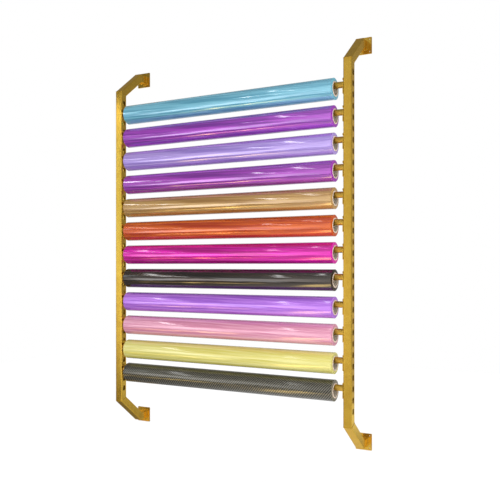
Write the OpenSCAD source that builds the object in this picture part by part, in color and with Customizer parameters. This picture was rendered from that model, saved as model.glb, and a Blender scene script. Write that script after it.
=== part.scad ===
// Wall rack for twelve rolls of film, each hung by its core on a bar that lifts out.
// The origin is on the wall, midway between the uprights and midway between the wall plates.
// +Z is up, +X is to the right as seen from the room, and the rack stands out towards -Y.

/* [Film rolls] */
// Width of the film along the bar
film_w = 1524; // [1200:1:1700]
// Thickness of the film wound on the core
film_build = 19.5; // [5:0.1:30]
// Bore of the cardboard core
core_bore = 76.2; // [70:0.1:90]
// Wall of the cardboard core
core_wall = 7; // [3:0.1:10]
// Length of core that shows past each end of the film
core_overhang = 1.5; // [0.5:0.1:10]
// Free height between one roll and the next
roll_gap = 31.5; // [25:0.1:80]
// Number of rolls in the lower group
lower_rolls = 2; // [0:1:6]
// Free height that is added between the upper and the lower group
lower_step = 6.3; // [0:0.1:30]

/* [Bars] */
// Outside diameter of a bar
bar_d = 38; // [30:0.5:44]
// Wall of a bar
bar_wall = 2.5; // [1.5:0.1:4]
// Diameter of the journal at each end of a bar
journal_d = 16; // [10:0.5:20]
// Thickness of the plug's collar, which closes the bar's end
plug_collar_t = 3; // [2:0.1:6]
// Depth of the plug inside the bar
plug_depth = 30; // [15:1:60]
// Chamfer at the journal's free end
journal_chamfer = 0.8; // [0.3:0.1:1.5]

/* [Brackets] */
// Thickness of a bracket plate
bracket_t = 4; // [3:0.1:8]
// Height of plate below the bar's axis
bracket_drop = 58; // [40:1:70]
// Height of plate that closes the notch's mouth from above
bracket_horn = 9.5; // [6:0.5:14]
// Distance from the bracket's back edge to the upright's back face
bracket_back_inset = 4; // [2:0.5:8]
// Corner radius of a bracket plate
bracket_corner_r = 4; // [2:0.5:6]
// Slope of the notch, upwards to the front
notch_slope = 30; // [20:1:40]

/* [Uprights and arms] */
// Outside width of the square tube
tube_w = 52.5; // [40:0.5:60]
// Wall of the square tube
tube_wall = 2; // [1.5:0.1:4]
// Outside corner radius of the square tube
tube_corner_r = 5; // [4.2:0.1:6]
// Free width between the left upright and the film
left_room = 40; // [25:1:80]
// Free width between the film and the right upright
right_room = 58; // [25:1:80]
// Height from the top bar's axis to the upper bend
top_room = 137.5; // [110:0.5:250]
// Height from the lowest bar's axis to the lower bend
bottom_room = 211.5; // [150:0.5:300]
// Distance from the wall to the uprights' middle
standoff = 267; // [200:1:350]
// Slope of the arms from level
arm_slope = 38; // [30:1:50]
// Distance from the wall to the bend where the arm turns level
stub_reach = 70; // [60:1:90]

/* [Slots] */
// Distance from one slot's middle to the next
slot_pitch = 65.8; // [55:0.1:80]
// Width of a slot
slot_w = 22; // [14:0.5:26]
// Length of a slot from end to end
slot_len = 36; // [28:0.5:44]
// Least distance from a bend to a slot's middle
slot_end_room = 70.5; // [50:0.5:90]

/* [Wall plates] */
// Width of plate that shows on each side of the tube
plate_margin = 24.75; // [22:0.25:40]
// Thickness of a wall plate
plate_t = 8; // [4:0.5:12]
// Corner radius of a wall plate
plate_corner_r = 3; // [1:0.5:6]
// Diameter of a bolt hole
bolt_hole_d = 6; // [5:0.5:12]
// Distance from a plate's edge to a bolt hole's middle
bolt_inset = 13; // [10:0.5:16]

/* [Clearances] */
// Gap between the bar and the top of the core's bore
hang_gap = 0.3; // [0.2:0.05:1]
// Radial gap between the core and the film
film_fit = 0.05; // [0.02:0.01:0.1]
// Radial gap between a plug and the bar
plug_fit = 0.05; // [0.02:0.01:0.1]
// Radial gap between a journal and its notch
journal_fit = 0.3; // [0.2:0.05:0.6]
// End gap between a plug's collar and the bracket
collar_gap = 1; // [0.5:0.1:3]
// End gap between a journal and the upright
journal_end_gap = 0.5; // [0.3:0.1:1.5]

/* [Hidden] */
$fn = 96;
frame_colour = "goldenrod";
core_colour = "wheat";
film_colours = [
    "lightskyblue", "darkorchid", "mediumpurple", "purple", "tan", "orangered",
    "deeppink", "darkslategray", "mediumorchid", "hotpink", "khaki", "dimgray"
];
roll_count = len(film_colours);

core_od = core_bore + 2 * core_wall;
film_od = core_od + 2 * film_build;
roll_pitch = film_od + roll_gap;
roll_drop = core_bore / 2 - bar_d / 2 - hang_gap;
roll_shift = (left_room - right_room) / 2;

inner_w = left_room + film_w + right_room;
upright_x = inner_w / 2 + tube_w / 2;
bend_span = top_room + (roll_count - 1) * roll_pitch + lower_step + bottom_room;
bend_z = bend_span / 2;
top_bar_z = bend_z - top_room;
arm_run = standoff - stub_reach;
plate_z = bend_z + arm_run * tan(arm_slope);
plate_size = tube_w + 2 * plate_margin;
bolt_pitch = plate_size - 2 * bolt_inset;

slot_count = floor((bend_span - 2 * slot_end_room) / slot_pitch) + 1;
top_slot_z = bend_z - slot_end_room;

bracket_x = inner_w / 2 - bracket_t;
notch_w = journal_d + 2 * journal_fit;
notch_top = tube_w / 2 * tan(notch_slope) + notch_w / 2 / cos(notch_slope);
bracket_rise = notch_top + bracket_horn;

collar_x = bracket_x - collar_gap;
bar_half = collar_x - plug_collar_t;
journal_len = inner_w / 2 - journal_end_gap - collar_x;

// Room that a cutting shape takes past the surface it cuts
past = 1;
mitre_room = 3 * tube_w;

// Turn of the two mitres, each halfway between the runs that meet there
lower_mitre = (arm_slope - 90) / 2;
upper_mitre = 90 + arm_slope / 2;

function label(i) = i < 10 ? str("0", i) : str(i);
function group_drop(i) = i > roll_count - lower_rolls ? lower_step : 0;
function bar_z(i) = top_bar_z - (i - 1) * roll_pitch - group_drop(i);
function numbered(name) = [for (i = [1:roll_count]) str(name, "_", label(i))];

// Square of width w with round corners, about the origin
module rounded_square(w, r) {
    square([w, w - 2 * r], center = true);
    square([w - 2 * r, w], center = true);
    for (x = [-1, 1], y = [-1, 1])
        translate([x * (w / 2 - r), y * (w / 2 - r)])
            circle(r);
}

// Square tube along +Z from the origin
module square_tube(length) {
    linear_extrude(length)
        difference() {
            rounded_square(tube_w, tube_corner_r);
            rounded_square(tube_w - 2 * tube_wall, tube_corner_r - tube_wall);
        }
}

// Everything on one side of a plane through the X axis, turned up from level by the given angle
module half_space(turn, side) {
    rotate([turn, 0, 0])
        translate([-mitre_room, -mitre_room, side > 0 ? 0 : -mitre_room])
            cube([2 * mitre_room, 2 * mitre_room, mitre_room]);
}

// Round-ended opening along X, through both side faces of a tube
module slot_cut() {
    straight = slot_len - slot_w;
    through = tube_w + 2 * past;
    cube([through, slot_w, straight], center = true);
    for (end = [-1, 1])
        translate([0, 0, end * straight / 2])
            rotate([0, 90, 0])
                cylinder(d = slot_w, h = through, center = true);
}

// One upright, with both ends mitred for the arms
module upright(side) {
    color(frame_colour)
        translate([side * upright_x, -standoff, 0])
            difference() {
                translate([0, 0, -bend_z - tube_w])
                    square_tube(bend_span + 2 * tube_w);
                translate([0, 0, bend_z])
                    half_space(lower_mitre, 1);
                translate([0, 0, -bend_z])
                    half_space(-lower_mitre, -1);
                for (i = [0:slot_count - 1])
                    translate([0, 0, top_slot_z - i * slot_pitch])
                        slot_cut();
            }
}

// Sloping run of an arm, mitred at both bends
module sloping_run() {
    slope_len = arm_run / cos(arm_slope);
    difference() {
        translate([0, -standoff, bend_z])
            rotate([arm_slope - 90, 0, 0])
                translate([0, 0, -tube_w])
                    square_tube(slope_len + 2 * tube_w);
        translate([0, -standoff, bend_z])
            half_space(lower_mitre, -1);
        translate([0, -stub_reach, plate_z])
            half_space(upper_mitre, -1);
    }
}

// Level run of an arm, mitred at the bend and square at the wall plate
module level_run() {
    difference() {
        translate([0, -plate_t, plate_z])
            rotate([90, 0, 0])
                square_tube(stub_reach - plate_t + tube_w);
        translate([0, -stub_reach, plate_z])
            half_space(upper_mitre, 1);
    }
}

// One cranked arm: side is -1 for left and 1 for right, end is 1 for top and -1 for bottom
module arm(side, end) {
    color(frame_colour)
        translate([side * upright_x, 0, 0])
            mirror([0, 0, end > 0 ? 0 : 1])
                union() {
                    sloping_run();
                    level_run();
                }
}

// One wall plate with its four bolt holes
module wall_plate(side, end) {
    color(frame_colour)
        translate([side * upright_x, 0, end * plate_z])
            rotate([90, 0, 0])
                difference() {
                    linear_extrude(plate_t)
                        rounded_square(plate_size, plate_corner_r);
                    for (x = [-1, 1], y = [-1, 1])
                        translate([x * bolt_pitch / 2, y * bolt_pitch / 2, -past])
                            cylinder(d = bolt_hole_d, h = plate_t + 2 * past);
                }
}

// Outline of a bracket about the bar's axis: x runs to the wall and y is up
module bracket_outline() {
    front = -tube_w / 2;
    back = tube_w / 2 - bracket_back_inset;
    height = bracket_drop + bracket_rise;
    depth = back - front;
    r = bracket_corner_r;
    difference() {
        translate([front, -bracket_drop])
            union() {
                translate([r, 0])
                    square([depth - 2 * r, height]);
                translate([0, r])
                    square([depth, height - 2 * r]);
                for (x = [r, depth - r], y = [r, height - r])
                    translate([x, y])
                        circle(r);
            }
        circle(d = notch_w);
        rotate(180 - notch_slope)
            translate([0, -notch_w / 2])
                square([tube_w, notch_w]);
    }
}

// All brackets of one upright, welded to its inner face
module brackets(side) {
    color(frame_colour)
        for (i = [1:roll_count])
            translate([side > 0 ? bracket_x : -inner_w / 2, -standoff, bar_z(i)])
                rotate([90, 0, 90])
                    linear_extrude(bracket_t)
                        bracket_outline();
}

// One bar, a plain round tube
module bar(i) {
    color(frame_colour)
        translate([0, -standoff, bar_z(i)])
            rotate([0, 90, 0])
                difference() {
                    cylinder(d = bar_d, h = 2 * bar_half, center = true);
                    cylinder(d = bar_d - 2 * bar_wall, h = 2 * bar_half + 2 * past, center = true);
                }
}

// Plug for a bar's right end: a spigot in the bar, a collar against its end and a journal outside
module plug() {
    spigot_d = bar_d - 2 * bar_wall - 2 * plug_fit;
    plain_len = journal_len - journal_chamfer;
    translate([collar_x - plug_collar_t - plug_depth, 0, 0])
        rotate([0, 90, 0])
            cylinder(d = spigot_d, h = plug_depth + plug_collar_t / 2);
    translate([collar_x - plug_collar_t, 0, 0])
        rotate([0, 90, 0])
            cylinder(d = bar_d, h = plug_collar_t);
    translate([collar_x - plug_collar_t / 2, 0, 0])
        rotate([0, 90, 0])
            cylinder(d = journal_d, h = plain_len + plug_collar_t / 2);
    translate([collar_x + plain_len, 0, 0])
        rotate([0, 90, 0])
            cylinder(d1 = journal_d, d2 = journal_d - 2 * journal_chamfer, h = journal_chamfer);
}

// The two plugs of one bar
module bar_plugs(i) {
    color(frame_colour)
        translate([0, -standoff, bar_z(i)])
            for (flip = [0, 1])
                mirror([flip, 0, 0])
                    plug();
}

// Round sleeve along X about the axis of a hanging roll
module roll_sleeve(i, length, outside_d, inside_d) {
    translate([roll_shift, -standoff, bar_z(i) - roll_drop])
        rotate([0, 90, 0])
            difference() {
                cylinder(d = outside_d, h = length, center = true);
                cylinder(d = inside_d, h = length + 2 * past, center = true);
            }
}

// Cardboard core of one roll
module core(i) {
    color(core_colour)
        roll_sleeve(i, film_w + 2 * core_overhang, core_od, core_bore);
}

// Wound film of one roll
module film(i) {
    color(film_colours[i - 1])
        roll_sleeve(i, film_w, film_od, core_od + 2 * film_fit);
}

upright(-1);  // left_upright
upright(1);  // right_upright
arm(-1, 1);  // left_top_arm
arm(-1, -1);  // left_bottom_arm
arm(1, 1);  // right_top_arm
arm(1, -1);  // right_bottom_arm
wall_plate(-1, 1);  // left_top_wall_plate
wall_plate(-1, -1);  // left_bottom_wall_plate
wall_plate(1, 1);  // right_top_wall_plate
wall_plate(1, -1);  // right_bottom_wall_plate
brackets(-1);  // left_brackets
brackets(1);  // right_brackets
for (i = [1:roll_count]) {
    bar(i);
    bar_plugs(i);
    core(i);
    film(i);
}
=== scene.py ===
"""Looks of a wall rack for film rolls: its finishes, its wound rolls, its welds and the studio around it."""
import math

import bmesh
import bpy
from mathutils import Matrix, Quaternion, Vector, noise


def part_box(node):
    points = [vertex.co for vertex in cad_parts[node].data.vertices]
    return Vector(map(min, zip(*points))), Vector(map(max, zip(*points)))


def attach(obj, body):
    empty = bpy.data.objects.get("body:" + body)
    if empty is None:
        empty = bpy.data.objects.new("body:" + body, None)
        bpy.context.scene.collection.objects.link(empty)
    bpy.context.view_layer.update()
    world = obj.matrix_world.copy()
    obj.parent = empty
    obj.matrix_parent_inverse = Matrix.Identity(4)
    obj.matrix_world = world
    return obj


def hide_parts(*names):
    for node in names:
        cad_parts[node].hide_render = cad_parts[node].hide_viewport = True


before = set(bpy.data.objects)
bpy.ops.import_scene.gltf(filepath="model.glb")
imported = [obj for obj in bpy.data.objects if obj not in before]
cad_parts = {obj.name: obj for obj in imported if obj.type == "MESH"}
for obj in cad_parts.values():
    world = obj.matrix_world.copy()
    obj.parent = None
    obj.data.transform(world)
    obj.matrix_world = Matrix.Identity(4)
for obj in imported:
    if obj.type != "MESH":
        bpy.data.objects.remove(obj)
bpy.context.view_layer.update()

# The camera, as the photograph was taken: level, turned to the left
IMAGE_SIZE = 500
CAMERA_AT = (2.249, -4.099, -0.1335)
CAMERA_TURN = math.radians(28.33)
CAMERA_LENS = 50.0
CAMERA_SENSOR = 36.0
HORIZON_BELOW_MIDDLE = 15.55

# Bodies of the frame that the pieces ride on
RACK_BODY = "rack"
ROLL_BODY = "roll_{:02d}"

# Sizes that the frame's boxes don't tell, in metres and radians, and the steps of a tube's round corner
ARM_SLOPE = math.radians(38.0)
STUB_REACH = 0.070
TUBE_CORNER = 0.005
TUBE_CORNER_STEPS = 6
CORE_WALL = 0.007

# The wound film: sizes in metres, its noises' scales and shifts, twist in radians per metre, and mesh steps
FILM_ROUND = 0.0010
FILM_DOME = 0.0030
FILM_LAP = 0.0004
FILM_LAP_AT = math.radians(-60.0)
FILM_LAP_STEEPNESS = 8
FILM_WAVE = 0.00012
FILM_WAVE_ALONG = 1.1
FILM_WAVE_AROUND = 60.0
FILM_WAVE_SHIFT = 5.3
FILM_TELESCOPE = 0.0005
FILM_TELESCOPE_SCALE = 900.0
FILM_TELESCOPE_SHIFT = 3.7
FILM_TELESCOPE_ROW = 0.5
FILM_FIT = 0.0001
FILM_TWIST = -0.4
FILM_RIPPLE = 0.0012
FILM_STEPS_ROUND = 144
FILM_STEPS_ALONG = 40
FILM_END_RINGS = 14
FILM_RIM_STEPS = 4

# The cardboard core: sizes in metres and mesh steps
CORE_ROUND = 0.0006
CORE_STEPS_ROUND = 96
CORE_STEPS_ALONG = 24
CORE_SPIRAL_PITCH = 0.105

# Woven pattern of the lowest roll: tows around it, a multiple of the weave's repeat, the contrast of its
# painted light and shade, their width along the roll as a share of that around it, and the painted light on a
# tow that passes under
WEAVE_TOWS = 88
WEAVE_REPEAT = 4
WEAVE_PAINTED_SHADE_CONTRAST = 1.7
WEAVE_ASPECT = 0.85
WEAVE_UNDER_PAINTED_LIGHT = 0.10

# The weld beads: sizes in metres, shares of a bead's size and mesh steps
PLATE_BEAD = 0.0030
MITRE_BEAD = 0.0013
BRACKET_BEAD = 0.0018
BRACKET_WELD_INSET = 0.006
BEAD_SPACING = 0.0008
BEAD_RIPPLE = 0.0032
BEAD_RIPPLE_SHARE = 0.10
BEAD_SIDES = 6
BEAD_FREE_END = 0.4


def srgb(red, green, blue):
    """A linear colour from an sRGB one that is given from 0 to 255."""
    shares = (value / 255 for value in (red, green, blue))
    line = [s / 12.92 if s <= 0.04045 else ((s + 0.055) / 1.055) ** 2.4 for s in shares]
    return (*line, 1.0)


def grey(level):
    """A linear grey."""
    return (level, level, level, 1.0)


def shade_of(colour, share):
    """A linear colour times a share."""
    return (*(share * value for value in colour[:3]), 1.0)


class Graph:
    """Nodes of one tree, with short calls for those that the materials, lights and world share."""

    MIX_FIRST = 6
    MIX_SECOND = 7
    MIX_RESULT = 2

    def __init__(self, tree):
        self.tree = tree

    def add(self, kind, **settings):
        node = self.tree.nodes.new(kind)
        for key, value in settings.items():
            setattr(node, key, value)
        return node

    def put(self, socket, value):
        """Links a socket's value, or sets a plain one."""
        if isinstance(value, bpy.types.NodeSocket):
            self.tree.links.new(value, socket)
        else:
            socket.default_value = value

    def math(self, operation, first, second=0.0):
        node = self.add("ShaderNodeMath", operation=operation)
        self.put(node.inputs[0], first)
        self.put(node.inputs[1], second)
        return node.outputs[0]

    def dot(self, vector, direction):
        node = self.add("ShaderNodeVectorMath", operation="DOT_PRODUCT")
        self.put(node.inputs[0], vector)
        self.put(node.inputs[1], direction)
        return node.outputs["Value"]

    def place(self):
        """The point on the piece, in its own metres."""
        return self.add("ShaderNodeTexCoord").outputs["Object"]

    def stretch(self, vector, scale):
        node = self.add("ShaderNodeVectorMath", operation="MULTIPLY")
        self.put(node.inputs[0], vector)
        self.put(node.inputs[1], scale)
        return node.outputs[0]

    def split(self, vector):
        node = self.add("ShaderNodeSeparateXYZ")
        self.put(node.inputs[0], vector)
        return node.outputs

    def noise(self, vector, scale, detail, roughness):
        node = self.add("ShaderNodeTexNoise")
        self.put(node.inputs["Vector"], vector)
        self.put(node.inputs["Scale"], scale)
        self.put(node.inputs["Detail"], detail)
        self.put(node.inputs["Roughness"], roughness)
        return node.outputs[0]

    def drawn_noise(self, vector, stretch, detail, roughness):
        """Noise that is stretched by its own amount along each axis."""
        return self.noise(self.stretch(vector, stretch), 1.0, detail, roughness)

    def spread(self, value, low, high, to_low=0.0, to_high=1.0):
        """value from low to high, as a smooth share from to_low to to_high."""
        node = self.add("ShaderNodeMapRange", interpolation_type="SMOOTHSTEP")
        for socket, number in zip(node.inputs, (value, low, high, to_low, to_high)):
            self.put(socket, number)
        return node.outputs[0]

    def mix(self, share, first, second):
        node = self.add("ShaderNodeMix", data_type="RGBA")
        self.put(node.inputs["Factor"], share)
        self.put(node.inputs[self.MIX_FIRST], first)
        self.put(node.inputs[self.MIX_SECOND], second)
        return node.outputs[self.MIX_RESULT]

    def twist(self, slope):
        """The point on a roll, turned about its axis as it goes along, so that long lines run at a slope."""
        here = self.place()
        node = self.add("ShaderNodeVectorRotate", rotation_type="X_AXIS")
        self.put(node.inputs["Vector"], here)
        self.put(node.inputs["Angle"], self.math("MULTIPLY", self.split(here)[0], slope))
        return node.outputs[0]

    def bump(self, height, strength, distance):
        node = self.add("ShaderNodeBump")
        self.put(node.inputs["Strength"], strength)
        self.put(node.inputs["Distance"], distance)
        self.put(node.inputs["Height"], height)
        return node.outputs[0]


class Finish(Graph):
    """A new material, with its shader's inputs set by name."""

    def __init__(self, name):
        self.material = bpy.data.materials.new(name)
        self.material.use_nodes = True
        super().__init__(self.material.node_tree)
        self.shader = self.tree.nodes["Principled BSDF"]

    def shade(self, **values):
        """Sets the shader's inputs, whose names are written with _ for a space."""
        for key, value in values.items():
            self.put(self.shader.inputs[key.replace("_", " ")], value)


# In all finishes a noise is its scale per metre, detail and roughness, and a drawn one has a stretch for its
# scale. A range is low and high, with the values they lead to where it sets those
# A bump is strength and depth
GOLD_EDGE = (1.0, 0.82, 0.45, 1.0)
GOLD_CLOUDS = (26.0, 3.0, 0.55)
GOLD_GRAIN = (900.0, 2.0, 0.6)
GOLD_PEEL = (420.0, 1.0, 0.4)
GOLD_TONE_RANGE = (0.30, 0.72)
GOLD_SPECKLE_RANGE = (0.35, 0.75, 0.0, 0.10)
GOLD_GLOSS_RANGE = (0.25, 0.80)
GOLD_BUMP = (0.004, 0.0004)


def gold_paint(name, light, deep, gloss):
    """Gold metallic powder coat: cloudy tone, fine orange peel and slightly uneven gloss."""
    g = Finish(name)
    here = g.place()
    clouds = g.noise(here, *GOLD_CLOUDS)
    tone = g.mix(g.spread(clouds, *GOLD_TONE_RANGE), deep, light)
    speckle = g.spread(g.noise(here, *GOLD_GRAIN), *GOLD_SPECKLE_RANGE)
    g.shade(Base_Color=g.mix(speckle, tone, deep))
    g.shade(Metallic=0.95, Specular_Tint=GOLD_EDGE)
    g.shade(Roughness=g.spread(clouds, *GOLD_GLOSS_RANGE, *gloss))
    g.shade(Coat_Weight=0.40, Coat_Roughness=0.2)
    g.shade(Normal=g.bump(g.noise(here, *GOLD_PEEL), *GOLD_BUMP))
    return g.material


FILM_LINES = ((1.6, 76.0, 76.0), 1.6, 0.5)
FILM_BANDS = ((1.8, 85.0, 85.0), 3.0, 0.6)
FILM_FLAKE = (1400.0, 1.0, 0.5)
FILM_TONE_RANGE = (0.38, 0.62)
FILM_FLAKE_RANGE = (0.45, 0.80, 0.0, 0.12)
FILM_GLOSS_RANGE = (0.25, 0.75, 0.18, 0.24)
FILM_BUMP = (1.0, FILM_RIPPLE)


def wound_ripple(g):
    """Bump of the tension lines that run along a roll, at a slight slope."""
    return g.bump(g.drawn_noise(g.twist(FILM_TWIST), *FILM_LINES), *FILM_BUMP)


def film(name, colour, deep, metallic, coat_ior):
    """Glossy wrap film: a tone in long bands under a clear coat that tension lines ripple."""
    g = Finish(name)
    bands = g.drawn_noise(g.twist(FILM_TWIST), *FILM_BANDS)
    flake = g.noise(g.place(), *FILM_FLAKE)
    tone = g.mix(g.spread(bands, *FILM_TONE_RANGE), deep, colour)
    g.shade(Base_Color=g.mix(g.spread(flake, *FILM_FLAKE_RANGE), tone, colour))
    g.shade(Metallic=metallic)
    g.shade(Roughness=g.spread(bands, *FILM_GLOSS_RANGE))
    g.shade(Coat_Weight=1.0, Coat_Roughness=0.04, Coat_IOR=coat_ior)
    ripple = wound_ripple(g)
    g.shade(Normal=ripple, Coat_Normal=ripple)
    return g.material


def around(g):
    """A point's turn about the roll's axis, from -0.5 to 0.5, and its distance along the axis."""
    axes = g.split(g.place())
    angle = g.math("ARCTAN2", axes[2], axes[1])
    return g.math("DIVIDE", angle, 2 * math.pi), axes[0]


WEAVE_GLOSS_RANGE = (0.0, 1.0, 0.40, 0.28)
WEAVE_BUMP = (0.5, 0.0004)


def woven_film(name, colour, deep, metallic, coat_ior, radius):
    """Film with a two by two twill: each tow is a low ridge that passes over two and under two. Its colour is
    painted light and shade: lightest on the crown of a tow on top, dark on its flanks and on tows that pass
    under.
    """
    g = Finish(name)
    turn, along = around(g)
    tow = WEAVE_ASPECT * 2 * math.pi * radius / WEAVE_TOWS
    across = g.math("MULTIPLY", turn, WEAVE_TOWS)
    length = g.math("DIVIDE", along, tow)
    step = g.math("ADD", g.math("FLOOR", across), g.math("FLOOR", length))
    over = g.math("LESS_THAN", g.math("FRACT", g.math("DIVIDE", step, WEAVE_REPEAT)), 0.5)
    ridge_across = g.math("SINE", g.math("MULTIPLY", g.math("FRACT", across), math.pi))
    ridge_along = g.math("SINE", g.math("MULTIPLY", g.math("FRACT", length), math.pi))
    under = g.math("SUBTRACT", 1.0, over)
    ridge = g.math("ADD", g.math("MULTIPLY", over, ridge_across), g.math("MULTIPLY", under, ridge_along))
    # Painted light and shade: the light tone's share follows a ridge's crown and stays low where a tow passes
    # under
    lit = g.math("MULTIPLY", ridge, g.math("ADD", WEAVE_UNDER_PAINTED_LIGHT, g.math("MULTIPLY", over, 1 - WEAVE_UNDER_PAINTED_LIGHT)))
    g.shade(Base_Color=g.mix(g.math("POWER", lit, WEAVE_PAINTED_SHADE_CONTRAST), deep, colour))
    g.shade(Metallic=metallic)
    g.shade(Roughness=g.spread(ridge, *WEAVE_GLOSS_RANGE))
    g.shade(Coat_Weight=1.0, Coat_Roughness=0.08, Coat_IOR=coat_ior)
    g.shade(Normal=g.bump(ridge, *WEAVE_BUMP), Coat_Normal=wound_ripple(g))
    return g.material


RINGS_SCALE = 2600.0
RINGS_DETAIL = 3.0
RINGS_TONE_RANGE = (0.35, 0.65)
RINGS_GLOSS_RANGE = (0.3, 0.7, 0.38, 0.55)
RINGS_BUMP = (0.35, 0.0004)


def film_end(name, colour, deep):
    """The wound film's end: hundreds of edges of film and paper liner, seen as fine rings."""
    g = Finish(name)
    axes = g.split(g.place())
    squares = g.math("ADD", g.math("MULTIPLY", axes[1], axes[1]), g.math("MULTIPLY", axes[2], axes[2]))
    rings = g.add("ShaderNodeTexNoise", noise_dimensions="1D")
    g.put(rings.inputs["W"], g.math("SQRT", squares))
    g.put(rings.inputs["Scale"], RINGS_SCALE)
    g.put(rings.inputs["Detail"], RINGS_DETAIL)
    layers = rings.outputs[0]
    g.shade(Base_Color=g.mix(g.spread(layers, *RINGS_TONE_RANGE), deep, colour))
    g.shade(Roughness=g.spread(layers, *RINGS_GLOSS_RANGE))
    g.shade(Normal=g.bump(layers, *RINGS_BUMP))
    return g.material


BOARD_FIBRES = ((260.0, 900.0, 900.0), 3.0, 0.65)
BOARD_BLOTCH = (35.0, 2.0, 0.5)
BOARD_TONE_RANGE = (0.30, 0.72)
BOARD_BLOTCH_RANGE = (0.35, 0.75, 0.0, 0.3)
BOARD_GLOSS_RANGE = (0.3, 0.7, 0.72, 0.9)
BOARD_BUMP = (0.25, 0.0004)
BOARD_SEAM_TONE = srgb(140, 116, 84)
BOARD_SEAM_SHARE = 0.6
BOARD_SEAM_HALF = 0.008


def core_board(name, colour, deep):
    """Spiral wound cardboard: pale paper with fibres and the seam of the wound strip."""
    g = Finish(name)
    turn, along = around(g)
    strip = g.math("FRACT", g.math("ADD", g.math("DIVIDE", along, CORE_SPIRAL_PITCH), turn))
    off_middle = g.math("ABSOLUTE", g.math("SUBTRACT", strip, 0.5))
    seam = g.math("LESS_THAN", off_middle, BOARD_SEAM_HALF)
    fibres = g.drawn_noise(g.place(), *BOARD_FIBRES)
    blotch = g.noise(g.place(), *BOARD_BLOTCH)
    paper = g.mix(g.spread(fibres, *BOARD_TONE_RANGE), deep, colour)
    paper = g.mix(g.spread(blotch, *BOARD_BLOTCH_RANGE), paper, deep)
    g.shade(Base_Color=g.mix(g.math("MULTIPLY", seam, BOARD_SEAM_SHARE), paper, BOARD_SEAM_TONE))
    g.shade(Roughness=g.spread(fibres, *BOARD_GLOSS_RANGE))
    g.shade(Normal=g.bump(g.math("SUBTRACT", fibres, seam), *BOARD_BUMP))
    return g.material


def mesh_piece(name, mesh, materials, origin=(0.0, 0.0, 0.0)):
    """A new object from a filled bmesh, with its origin at the given point."""
    bmesh.ops.recalc_face_normals(mesh, faces=mesh.faces)
    data = bpy.data.meshes.new(name)
    mesh.to_mesh(data)
    mesh.free()
    for material in materials:
        data.materials.append(material)
    piece = bpy.data.objects.new(name, data)
    piece.location = origin
    bpy.context.scene.collection.objects.link(piece)
    return piece


def lathe(profile, angles, radius_at):
    """A closed ring about X: profile holds (x, radius, material), and radius_at may ease a radius."""
    mesh = bmesh.new()
    rows = []
    for x, radius, _ in profile:
        row = []
        for angle in angles:
            r = radius_at(x, radius, angle)
            row.append(mesh.verts.new((x, r * math.cos(angle), r * math.sin(angle))))
        rows.append(row)
    count = len(angles)
    for k, (_, _, material) in enumerate(profile):
        near = rows[k]
        far = rows[(k + 1) % len(rows)]
        for a in range(count):
            b = (a + 1) % count
            face = mesh.faces.new((near[a], near[b], far[b], far[a]))
            face.material_index = material
            face.smooth = True
    return mesh


def round_box(node):
    """Middle of a round node along X, its half length and its outer radius."""
    low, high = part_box(node)
    return (low + high) / 2, (high.x - low.x) / 2, (high.z - low.z) / 2


def unit_noise(spot):
    """Smooth noise from 0 to 1."""
    return 0.5 + 0.5 * noise.noise(Vector(spot))


def film_profile(half, outer, inner, number):
    """Half section of the wound film, from bore to bore: a domed end, its rim, the long side, and back."""
    flat = outer - FILM_ROUND
    end = []
    for k in range(FILM_END_RINGS + 1):
        share = k / FILM_END_RINGS
        radius = inner + (flat - inner) * share
        spot = (radius * FILM_TELESCOPE_SCALE, number * FILM_TELESCOPE_SHIFT, FILM_TELESCOPE_ROW)
        wander = unit_noise(spot)
        back = FILM_DOME * share ** 2 + FILM_TELESCOPE * wander * (1 - share)
        end.append((half - back, radius, 1))
    rim = []
    for k in range(1, FILM_RIM_STEPS):
        turn = math.pi / 2 * k / FILM_RIM_STEPS
        x = half - FILM_DOME - FILM_ROUND * (1 - math.cos(turn))
        rim.append((x, flat + FILM_ROUND * math.sin(turn), 0))
    reach = half - FILM_DOME - FILM_ROUND
    inset = reach - FILM_ROUND
    side = [(inset * (1 - 2 * k / FILM_STEPS_ALONG), outer, 0) for k in range(FILM_STEPS_ALONG + 1)]
    side = [(reach, outer, 0)] + side + [(-reach, outer, 0)]
    other_rim = [(-x, radius, 0) for x, radius, _ in reversed(rim)]
    other_end = [(-x, radius, 1) for x, radius, _ in reversed(end)]
    return end + rim + side + other_rim + other_end


def wound_film(number, materials):
    """The film of one roll, with its free edge as a low step at the back and slow waves in the winding."""
    middle, half, outer = round_box("film_{:02d}".format(number))
    _, _, inner = round_box("core_{:02d}".format(number))
    step = 2 * math.pi / FILM_STEPS_ROUND
    angles = [FILM_LAP_AT + step * k for k in range(FILM_STEPS_ROUND - 1)]
    angles.append(FILM_LAP_AT + 2 * math.pi - step / FILM_LAP_STEEPNESS)
    around_scale = outer * FILM_WAVE_AROUND

    def radius_at(x, radius, angle):
        if radius < outer - FILM_ROUND:
            return radius
        turned = (angle - FILM_LAP_AT) / (2 * math.pi)
        along = x * FILM_WAVE_ALONG + number * FILM_WAVE_SHIFT
        spot = (along, math.cos(angle) * around_scale, math.sin(angle) * around_scale)
        return radius - FILM_LAP * turned - FILM_WAVE * unit_noise(spot)

    mesh = lathe(film_profile(half, outer, inner + FILM_FIT, number), angles, radius_at)
    return mesh_piece("wound_film_{:02d}".format(number), mesh, materials, middle)


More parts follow.
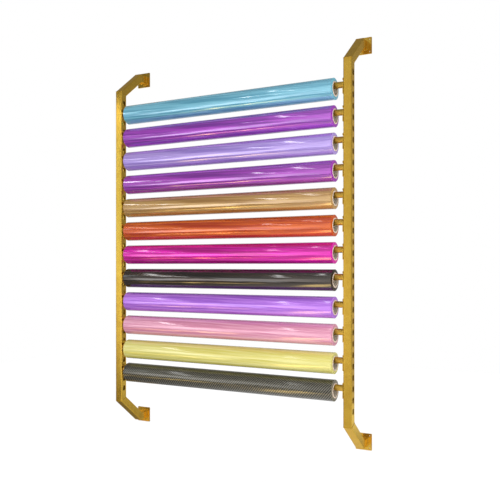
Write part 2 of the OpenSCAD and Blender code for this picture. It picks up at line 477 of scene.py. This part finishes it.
def core_tube(number, materials):
    """The cardboard core of one roll, with worn round rims: pale paper outside and greyer in the bore."""
    middle, half, outer = round_box("core_{:02d}".format(number))
    inner = outer - CORE_WALL
    r = CORE_ROUND
    inset = half - 2 * r
    outside = [(inset * (2 * k / CORE_STEPS_ALONG - 1), outer, 0) for k in range(CORE_STEPS_ALONG + 1)]
    outside = [(r - half, outer, 0)] + outside + [(half - r, outer, 0)]
    inside = [(-x, inner, 1) for x, _, _ in outside]
    profile = [(-half, outer - r, 0)] + outside + [(half, outer - r, 0), (half, inner + r, 0)]
    profile += inside + [(-half, inner + r, 0)]
    angles = [2 * math.pi * k / CORE_STEPS_ROUND for k in range(CORE_STEPS_ROUND)]
    mesh = lathe(profile, angles, lambda x, radius, angle: radius)
    return mesh_piece("core_tube_{:02d}".format(number), mesh, materials, middle)


# The film with the woven pattern, and all films from the top roll to the lowest: name, tone, deep tone, share
# of metal and the clear coat's index. A film's end shows its tones, changed by these shares
WOVEN_FILM = "carbon"
# Painted light: a film's end gets a light tone above the film's own, since its face gets little soft light;
# the rings between its two tones are the edges of film and liner
END_TONE_PAINTED_LIGHT_SHARE = 1.1
END_DEEP_SHARE = 0.7
FILMS = [
    ("teal", srgb(121, 191, 213), srgb(78, 152, 178), 0.25, 2.1),
    ("purple", srgb(173, 58, 198), srgb(120, 29, 155), 0.35, 2.1),
    ("lavender", srgb(180, 155, 225), srgb(144, 117, 199), 0.25, 2.1),
    ("plum", srgb(170, 52, 188), srgb(121, 25, 147), 0.35, 2.1),
    ("champagne", srgb(193, 153, 87), srgb(154, 111, 50), 0.30, 2.0),
    ("orange", srgb(212, 94, 6), srgb(170, 48, 2), 0.35, 1.65),
    ("magenta", srgb(226, 6, 178), srgb(174, 0, 124), 0.45, 1.6),
    ("black", srgb(55, 41, 26), srgb(24, 16, 9), 0.50, 1.7),
    ("violet", srgb(186, 121, 225), srgb(149, 84, 197), 0.20, 1.65),
    ("pink", srgb(217, 154, 176), srgb(194, 120, 148), 0.10, 1.65),
    ("yellow", srgb(211, 205, 126), srgb(196, 186, 90), 0.05, 1.55),
    ("carbon", srgb(146, 141, 122), srgb(2, 2, 2), 0.60, 1.5),
]


def dress_frame():
    """Finishes of the uprights, arms, plates, brackets and bars, which keep their CAD shapes."""
    frame_gold = gold_paint("frame_gold", srgb(219, 178, 64), srgb(209, 165, 52), (0.20, 0.25))
    bar_gold = gold_paint("bar_gold", srgb(208, 169, 68), srgb(194, 153, 56), (0.30, 0.36))
    for name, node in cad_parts.items():
        material = bar_gold if name.startswith("bar_") else frame_gold
        node.data.materials.clear()
        node.data.materials.append(material)
    return frame_gold


def dress_rolls():
    """A wound film and a core for every roll."""
    outside = core_board("core_board", srgb(230, 212, 196), srgb(204, 184, 164))
    bore = core_board("core_bore", srgb(196, 188, 174), srgb(168, 158, 142))
    for number, (name, tone, deep, metallic, coat_ior) in enumerate(FILMS, start=1):
        body = ROLL_BODY.format(number)
        if name == WOVEN_FILM:
            _, _, radius = round_box("film_{:02d}".format(number))
            side = woven_film("film_" + name, tone, deep, metallic, coat_ior, radius)
        else:
            side = film("film_" + name, tone, deep, metallic, coat_ior)
        # The end's light tone carries painted light, raised above the film's own tone
        end_tones_with_painted_light = (shade_of(tone, END_TONE_PAINTED_LIGHT_SHARE), shade_of(deep, END_DEEP_SHARE))
        end = film_end("film_end_" + name, *end_tones_with_painted_light)
        roll = wound_film(number, (side, end))
        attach(roll, body)
        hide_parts("film_{:02d}".format(number))
        core = core_tube(number, (outside, bore))
        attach(core, body)
        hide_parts("core_{:02d}".format(number))


def evenly(points, closed):
    """The same path, as points that lie about one bead spacing apart."""
    stops = points + points[:1] if closed else points
    line = []
    for near, far in zip(stops, stops[1:]):
        count = max(1, round((far - near).length / BEAD_SPACING))
        line += [near.lerp(far, k / count) for k in range(count)]
    return line if closed else line + stops[-1:]


def add_bead(mesh, points, plane, radius, closed):
    """A rippled round bead along a flat path, added to a bmesh."""
    line = evenly(points, closed)
    last = len(line) - 1
    rings = []
    for k, point in enumerate(line):
        before = line[k - 1] if closed or k > 0 else point
        after = line[(k + 1) % len(line)] if closed or k < last else point
        outward = (after - before).cross(plane).normalized()
        ripple = math.sin(2 * math.pi * k * BEAD_SPACING / BEAD_RIPPLE)
        size = radius * (1 + BEAD_RIPPLE_SHARE * ripple)
        if not closed and k in (0, last):
            size *= BEAD_FREE_END
        ring = []
        for side in range(BEAD_SIDES):
            turn = 2 * math.pi * side / BEAD_SIDES
            offset = outward * (size * math.cos(turn)) + plane * (size * math.sin(turn))
            ring.append(mesh.verts.new(point + offset))
        rings.append(ring)
    pairs = list(zip(rings, rings[1:]))
    if closed:
        pairs.append((rings[-1], rings[0]))
    for near, far in pairs:
        for side in range(BEAD_SIDES):
            other = (side + 1) % BEAD_SIDES
            face = mesh.faces.new((near[side], near[other], far[other], far[side]))
            face.smooth = True
    if not closed:
        mesh.faces.new(rings[0])
        mesh.faces.new(rings[-1])


def tube_outline(half):
    """Points round a square tube's section, as (across, deep) offsets from its middle."""
    flat = half - TUBE_CORNER
    points = []
    for corner in range(4):
        middle = math.radians(45 + 90 * corner)
        centre_x = math.copysign(flat, math.cos(middle))
        centre_y = math.copysign(flat, math.sin(middle))
        for k in range(TUBE_CORNER_STEPS + 1):
            turn = math.pi / 2 * (corner + k / TUBE_CORNER_STEPS)
            points.append((centre_x + TUBE_CORNER * math.cos(turn), centre_y + TUBE_CORNER * math.sin(turn)))
    return points


def weld_arm(side, end, material):
    """Beads of one arm: round its stub at the wall plate and round its two mitres."""
    low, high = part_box(side + "_upright")
    x = (low.x + high.x) / 2
    depth = (low.y + high.y) / 2
    half = (high.x - low.x) / 2
    way = 1 if end == "top" else -1
    plate_low, plate_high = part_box("{}_{}_wall_plate".format(side, end))
    plate_z = (plate_low.z + plate_high.z) / 2
    bend_lean = math.tan((math.pi / 2 - ARM_SLOPE) / 2)
    bend_z = way * (high.z - half * bend_lean)
    stub_lean = math.tan(ARM_SLOPE / 2)
    outline = tube_outline(half)
    plate_ring = [Vector((x + a, plate_low.y, plate_z + b)) for a, b in outline]
    bend_ring = [Vector((x + a, depth + b, bend_z - way * b * bend_lean)) for a, b in outline]
    stub_ring = [Vector((x + a, -STUB_REACH - way * b * stub_lean, plate_z + b)) for a, b in outline]
    mesh = bmesh.new()
    add_bead(mesh, plate_ring, Vector((0.0, 1.0, 0.0)), PLATE_BEAD, True)
    add_bead(mesh, bend_ring, Vector((0.0, way * bend_lean, 1.0)).normalized(), MITRE_BEAD, True)
    add_bead(mesh, stub_ring, Vector((0.0, 1.0, way * stub_lean)).normalized(), MITRE_BEAD, True)
    piece = mesh_piece("{}_{}_arm_welds".format(side, end), mesh, [material])
    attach(piece, RACK_BODY)


def weld_brackets(side, material):
    """Beads round the back of every bracket on one upright, where it lies on the upright's inner face."""
    low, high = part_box(side + "_brackets")
    upright_low, upright_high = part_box(side + "_upright")
    face = upright_high.x if side == "left" else upright_low.x
    first, _, _ = round_box("bar_01")
    final, _, _ = round_box("bar_{:02d}".format(len(FILMS)))
    rise = high.z - first.z
    drop = final.z - low.z
    front = low.y + BRACKET_WELD_INSET
    mesh = bmesh.new()
    for number in range(1, len(FILMS) + 1):
        axis, _, _ = round_box("bar_{:02d}".format(number))
        corners = [(front, rise), (high.y, rise), (high.y, -drop), (front, -drop)]
        path = [Vector((face, y, axis.z + z)) for y, z in corners]
        add_bead(mesh, path, Vector((1.0, 0.0, 0.0)), BRACKET_BEAD, False)
    piece = mesh_piece(side + "_bracket_welds", mesh, [material])
    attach(piece, RACK_BODY)


def weld_frame(material):
    """Beads of all brackets and arms."""
    for side in ("left", "right"):
        weld_brackets(side, material)
        for end in ("top", "bottom"):
            weld_arm(side, end, material)


# Studio: levels of the surroundings, as soft light and as gloss see them
SOFT_FRONT_LEVEL = 1.15
SOFT_BEHIND_LEVEL = 1.35
FRONT_TO_BEHIND = (-0.30, 0.30)
FRONT_LEFT_LEVEL = 0.20
FRONT_RIGHT_LEVEL = 0.52
FRONT_SPREAD = (-0.55, -0.32)
BEHIND_LEVEL = 0.33
BEHIND_TOP_LEVEL = 0.26
BEHIND_FADE = (0.10, 0.40)
BACKDROP_AIM = (-math.sin(CAMERA_TURN), math.cos(CAMERA_TURN), 0.0)
BACKDROP_SPREAD = (0.40, 1.00)

# The floor: its tone and mottle, what makes it white where it is seen, and its painted reflection: the tones
# that gloss alone sees on it, darker on the left in front and lighter to the right, and others behind the
# rack
FLOOR_Z = -1.80
FLOOR_SIZE = 14.0
FLOOR_TONE = 0.80
FLOOR_MOTTLE = (3.0, 2.0, 0.5)
FLOOR_MOTTLE_TONE = 1.04 * FLOOR_TONE
FLOOR_WHITE = 0.04
FLOOR_SIDES = (-1.7, 0.4)
FLOOR_PAINTED_REFLECTION_SIDE_TONES = (0.14, 0.66)
FLOOR_BEHIND = (0.8, 2.0)
FLOOR_FAR = (2.7, 3.6)
FLOOR_PAINTED_REFLECTION_BEHIND_TONES = (0.30, 0.44)

# The soft light from the right, which no gloss shows: place, what it faces, width and height, radiance
KEY_AT = (2.10, -2.00, 0.10)
KEY_FACES = (0.40, -0.30, 0.00)
KEY_SIZE = (1.40, 2.60)
KEY_RADIANCE = 3.0

# Edge of a light, as a share of its size from its middle
LIGHT_EDGE = 0.5

# Lights that only gloss shows: name, place, what it faces, size, tilt in degrees, radiance, colour, and the
# share of its size, from the middle out, where its edge begins to fade
WHITE = (1.0, 1.0, 1.0)
COOL = (0.80, 0.92, 1.0)
WARM = (1.0, 0.70, 0.22)
FRESH = (0.86, 1.0, 0.92)
CARDS = [
    ("line_right", (-0.30, -1.70, 1.82), (-0.30, -1.70, 0.00), (0.06, 1.84), -9.7, 5.0, WHITE, 0.30),
    ("line_middle", (-1.21, -3.40, 1.38), (-1.21, -3.40, 0.00), (0.08, 3.96), -18.9, 6.5, WHITE, 0.36),
    ("line_left", (-2.75, -3.23, 1.38), (-2.75, -3.23, 0.00), (0.12, 4.46), -23.0, 6.5, WHITE, 0.36),
    ("left_panel", (-3.80, -3.30, 0.60), (-3.80, 0.00, 0.60), (1.20, 2.40), 0.0, 2.1, COOL, 0.34),
    ("warm_low", (-1.50, -1.75, -1.74), (-1.50, -1.75, 0.00), (1.80, 0.50), 0.0, 6.0, WARM, 0.10),
    ("warm_right", (-0.04, -1.20, -1.74), (-0.04, -1.20, 0.00), (0.44, 1.60), 0.0, 5.0, WARM, 0.10),
    ("floor_right", (1.80, -2.30, -1.76), (1.80, -2.30, 0.00), (1.10, 1.30), 0.0, 1.4, FRESH, 0.25),
    ("floor_behind", (2.30, 2.85, -1.76), (2.30, 2.85, 0.00), (1.30, 1.70), 0.0, 0.95, FRESH, 0.30),
]

# The tall soft light in front on the left: a bright slanted band below, and a glow that fades upwards and at
# its left end. Its right end is even from top to bottom
SOFTBOX_AT = (-1.72, -3.30, 0.35)
SOFTBOX_SIZE = (3.25, 3.70)
SOFTBOX_BAND_LEVELS = (2.2, 1.0)
SOFTBOX_BAND_FADE = (-1.20, 0.80)
SOFTBOX_BAND_EDGE = (-0.46, -0.22)
SOFTBOX_BAND_SLANT = 0.244
SOFTBOX_BAND_LEFT = (-1.42, -1.15)
SOFTBOX_FOOT = (-1.80, -1.68)
SOFTBOX_FOOT_SLANT = 0.20
SOFTBOX_GLOW = 0.85
SOFTBOX_GLOW_FALL = 1.5
SOFTBOX_GLOW_LEFT = (-1.60, -1.42)
SOFTBOX_RIGHT = (0.60, 1.40)
SOFTBOX_RIGHT_LEVEL = 0.40


def area_light(name, at, target, size, tilt, radiance, colour):
    """A rectangular light of the given radiance that faces its target, tilted about that aim."""
    data = bpy.data.lights.new(name, "AREA")
    data.shape = "RECTANGLE"
    data.size, data.size_y = size
    data.energy = math.pi * size[0] * size[1] * radiance
    data.color = colour
    light = bpy.data.objects.new(name, data)
    light.location = at
    aim = (Vector(target) - Vector(at)).to_track_quat("-Z", "Y")
    light.rotation_euler = (aim @ Quaternion((0.0, 0.0, 1.0), math.radians(tilt))).to_euler()
    light.visible_camera = False
    bpy.context.scene.collection.objects.link(light)
    return light


def light_strength(light):
    """Nodes of a light, the point on it from its middle, and the socket of its strength."""
    light.data.use_nodes = True
    g = Graph(light.data.node_tree)
    across, up, _ = g.split(g.place())
    return g, across, up, g.tree.nodes["Emission"].inputs["Strength"]


def reflection_card(name, at, target, size, tilt, radiance, colour, fade):
    """A light with soft edges that shows in gloss alone."""
    light = area_light(name, at, target, size, tilt, radiance, colour)
    light.visible_diffuse = False
    g, across, up, strength = light_strength(light)
    share_across = g.math("ABSOLUTE", g.math("DIVIDE", across, size[0]))
    share_up = g.math("ABSOLUTE", g.math("DIVIDE", up, size[1]))
    sides = g.spread(share_across, LIGHT_EDGE, fade)
    ends = g.spread(share_up, LIGHT_EDGE, fade)
    g.put(strength, g.math("MULTIPLY", sides, ends))


def make_softbox():
    """The tall soft light, uneven over its face, which shows in gloss alone."""
    straight = (SOFTBOX_AT[0], 0.0, SOFTBOX_AT[2])
    light = area_light("softbox", SOFTBOX_AT, straight, SOFTBOX_SIZE, 0.0, 1.0, WHITE)
    light.visible_diffuse = False
    g, across, up, strength = light_strength(light)
    from_top = g.math("SUBTRACT", LIGHT_EDGE, g.math("DIVIDE", up, SOFTBOX_SIZE[1]))
    glow = g.math("MULTIPLY", g.math("POWER", from_top, SOFTBOX_GLOW_FALL), SOFTBOX_GLOW)
    glow = g.math("MULTIPLY", glow, g.spread(across, *SOFTBOX_GLOW_LEFT))
    height = g.math("SUBTRACT", up, g.math("MULTIPLY", across, SOFTBOX_BAND_SLANT))
    level = g.spread(across, *SOFTBOX_BAND_FADE, *SOFTBOX_BAND_LEVELS)
    band = g.math("MULTIPLY", level, g.spread(height, *SOFTBOX_BAND_EDGE, 1.0, 0.0))
    band = g.math("MULTIPLY", band, g.spread(across, *SOFTBOX_BAND_LEFT))
    foot = g.math("ADD", up, g.math("MULTIPLY", across, SOFTBOX_FOOT_SLANT))
    band = g.math("MULTIPLY", band, g.spread(foot, *SOFTBOX_FOOT))
    to_right = g.spread(across, *SOFTBOX_RIGHT)
    left = g.math("MULTIPLY", g.math("ADD", glow, band), g.math("SUBTRACT", 1.0, to_right))
    g.put(strength, g.math("ADD", left, g.math("MULTIPLY", to_right, SOFTBOX_RIGHT_LEVEL)))


def make_lights():
    """The soft light from the right, and those that only gloss shows."""
    key = area_light("key", KEY_AT, KEY_FACES, KEY_SIZE, 0.0, KEY_RADIANCE, WHITE)
    key.visible_glossy = False
    for settings in CARDS:
        reflection_card(*settings)
    make_softbox()


def make_world():
    """Pale surroundings: white where they are seen, nearly even for soft light, and graded for gloss."""
    world = bpy.data.worlds.new("studio")
    world.use_nodes = True
    g = Graph(world.node_tree)
    way = g.add("ShaderNodeTexCoord").outputs["Generated"]
    axes = g.split(way)
    path = g.add("ShaderNodeLightPath").outputs
    to_behind = g.spread(axes[1], *FRONT_TO_BEHIND)
    to_right = g.spread(axes[0], *FRONT_SPREAD)
    front = g.mix(to_right, grey(FRONT_LEFT_LEVEL), grey(FRONT_RIGHT_LEVEL))
    backdrop = g.spread(g.dot(way, BACKDROP_AIM), *BACKDROP_SPREAD)
    level = g.mix(backdrop, grey(BEHIND_LEVEL), grey(1.0))
    behind = g.mix(g.spread(axes[2], *BEHIND_FADE), level, grey(BEHIND_TOP_LEVEL))
    gloss = g.mix(to_behind, front, behind)
    soft = g.mix(to_behind, grey(SOFT_FRONT_LEVEL), grey(SOFT_BEHIND_LEVEL))
    lit = g.mix(path["Is Glossy Ray"], soft, gloss)
    seen = g.math("MAXIMUM", path["Is Camera Ray"], path["Is Transmission Ray"])
    g.put(g.tree.nodes["Background"].inputs["Color"], g.mix(seen, lit, grey(1.0)))
    bpy.context.scene.world = world


def make_floor():
    """A plain pale floor well below the rack, near white where it is seen, which keeps the rack's shadow."""
    g = Finish("floor")
    path = g.add("ShaderNodeLightPath").outputs
    position = g.split(g.add("ShaderNodeNewGeometry").outputs["Position"])
    mottle = g.noise(g.place(), *FLOOR_MOTTLE)
    tone = g.mix(mottle, grey(FLOOR_TONE), grey(FLOOR_MOTTLE_TONE))
    # Painted reflection: gloss sees the floor in these darker and lighter tones by place, not in its own tone
    near = g.mix(g.spread(position[0], *FLOOR_SIDES), *(grey(level) for level in FLOOR_PAINTED_REFLECTION_SIDE_TONES))
    behind = g.mix(g.spread(position[1], *FLOOR_FAR), *(grey(level) for level in FLOOR_PAINTED_REFLECTION_BEHIND_TONES))
    gloss = g.mix(g.spread(position[1], *FLOOR_BEHIND), near, behind)
    g.shade(Base_Color=g.mix(path["Is Glossy Ray"], tone, gloss))
    g.shade(Roughness=0.9, Specular_IOR_Level=0.1)
    seen = g.math("MAXIMUM", path["Is Camera Ray"], path["Is Transmission Ray"])
    white = g.math("MULTIPLY", seen, FLOOR_WHITE)
    g.shade(Emission_Color=grey(1.0), Emission_Strength=white)
    mesh = bmesh.new()
    half = FLOOR_SIZE / 2
    corners = [(-half, -half), (half, -half), (half, half), (-half, half)]
    mesh.faces.new([mesh.verts.new((x, y, 0.0)) for x, y in corners])
    mesh_piece("floor", mesh, [g.material], (0.0, 0.0, FLOOR_Z))


def make_camera():
    """The camera of the photograph."""
    data = bpy.data.cameras.new("camera")
    data.lens = CAMERA_LENS
    data.sensor_width = CAMERA_SENSOR
    data.shift_y = HORIZON_BELOW_MIDDLE / IMAGE_SIZE
    camera = bpy.data.objects.new("camera", data)
    camera.location = CAMERA_AT
    camera.rotation_euler = (math.pi / 2, 0.0, CAMERA_TURN)
    bpy.context.scene.collection.objects.link(camera)
    bpy.context.scene.camera = camera


make_camera()
make_world()
make_floor()
make_lights()
weld_frame(dress_frame())
dress_rolls()

bpy.context.scene.view_settings.view_transform = "Standard"
